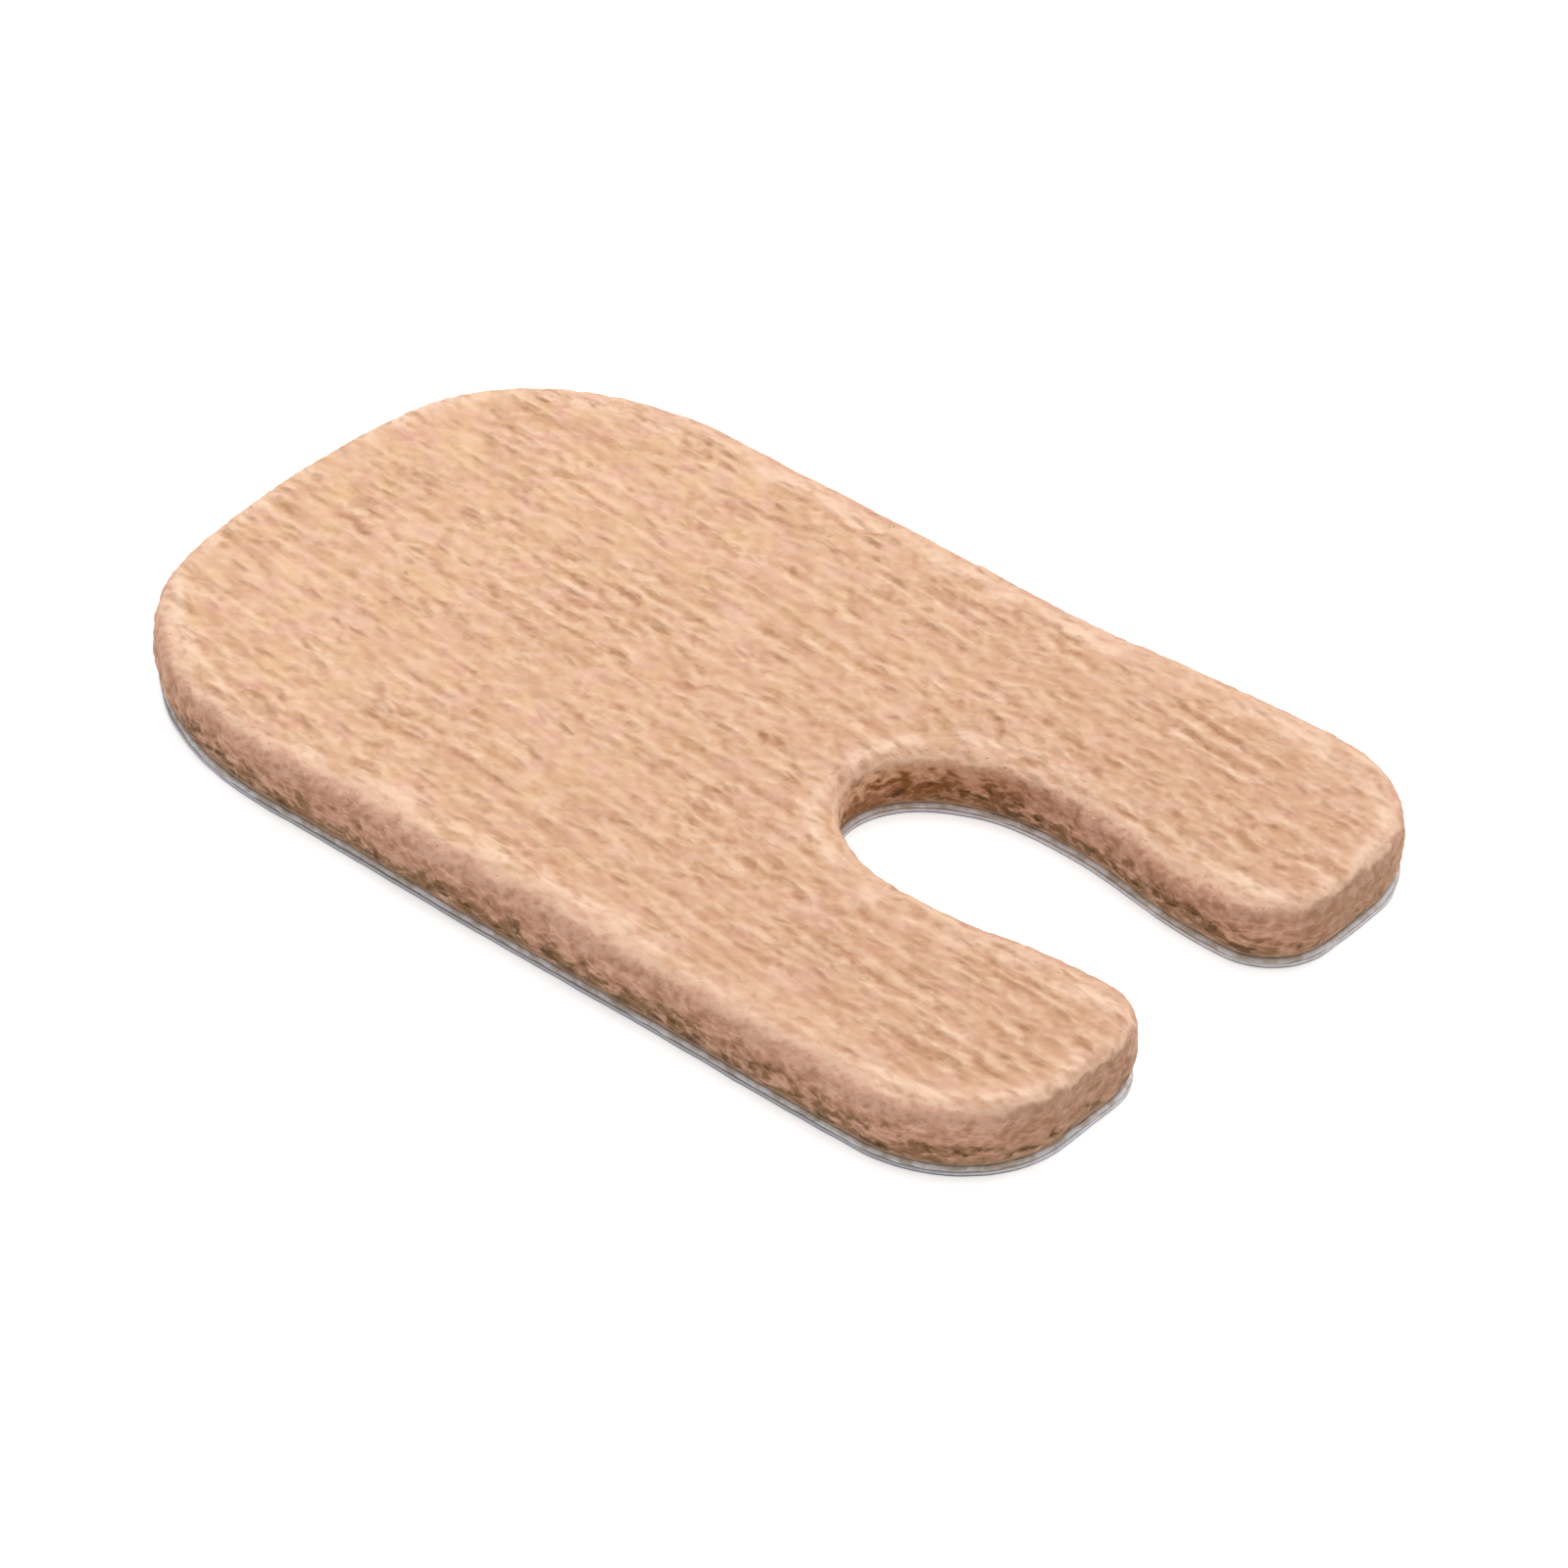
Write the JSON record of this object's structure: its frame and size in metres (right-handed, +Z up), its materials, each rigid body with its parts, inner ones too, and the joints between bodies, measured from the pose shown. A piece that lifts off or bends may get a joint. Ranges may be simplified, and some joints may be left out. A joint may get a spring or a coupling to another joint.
{
  "type": "callus pad",
  "caption": "U-shaped callus pad of thick tan wool felt with a rounded head and two prongs, adhesive underneath, on a thin paper release liner.",
  "frame": {"origin": "middle of the pad's box, on the surface that the release liner lies on", "axes": "+X from the rounded head to the prong ends, +Y to the pad's left seen from the head, +Z up out of the felt's top"},
  "size_m": [0.064, 0.0378, 0.0043],
  "materials": {
    "felt": "matte wool and rayon felt, skin-tan, short fibres combed along the length, granular cut wall",
    "adhesive": "tacky pale tan adhesive film, slightly glossy, soaked a little way into the felt's base and darker there",
    "liner_paper": "smooth pale blue-white coated release paper, faint satin"
  },
  "bodies": {
    "root": {"felt_pad": "felt", "adhesive_film": "adhesive", "release_liner": "liner_paper"}
  },
  "joints": []
}
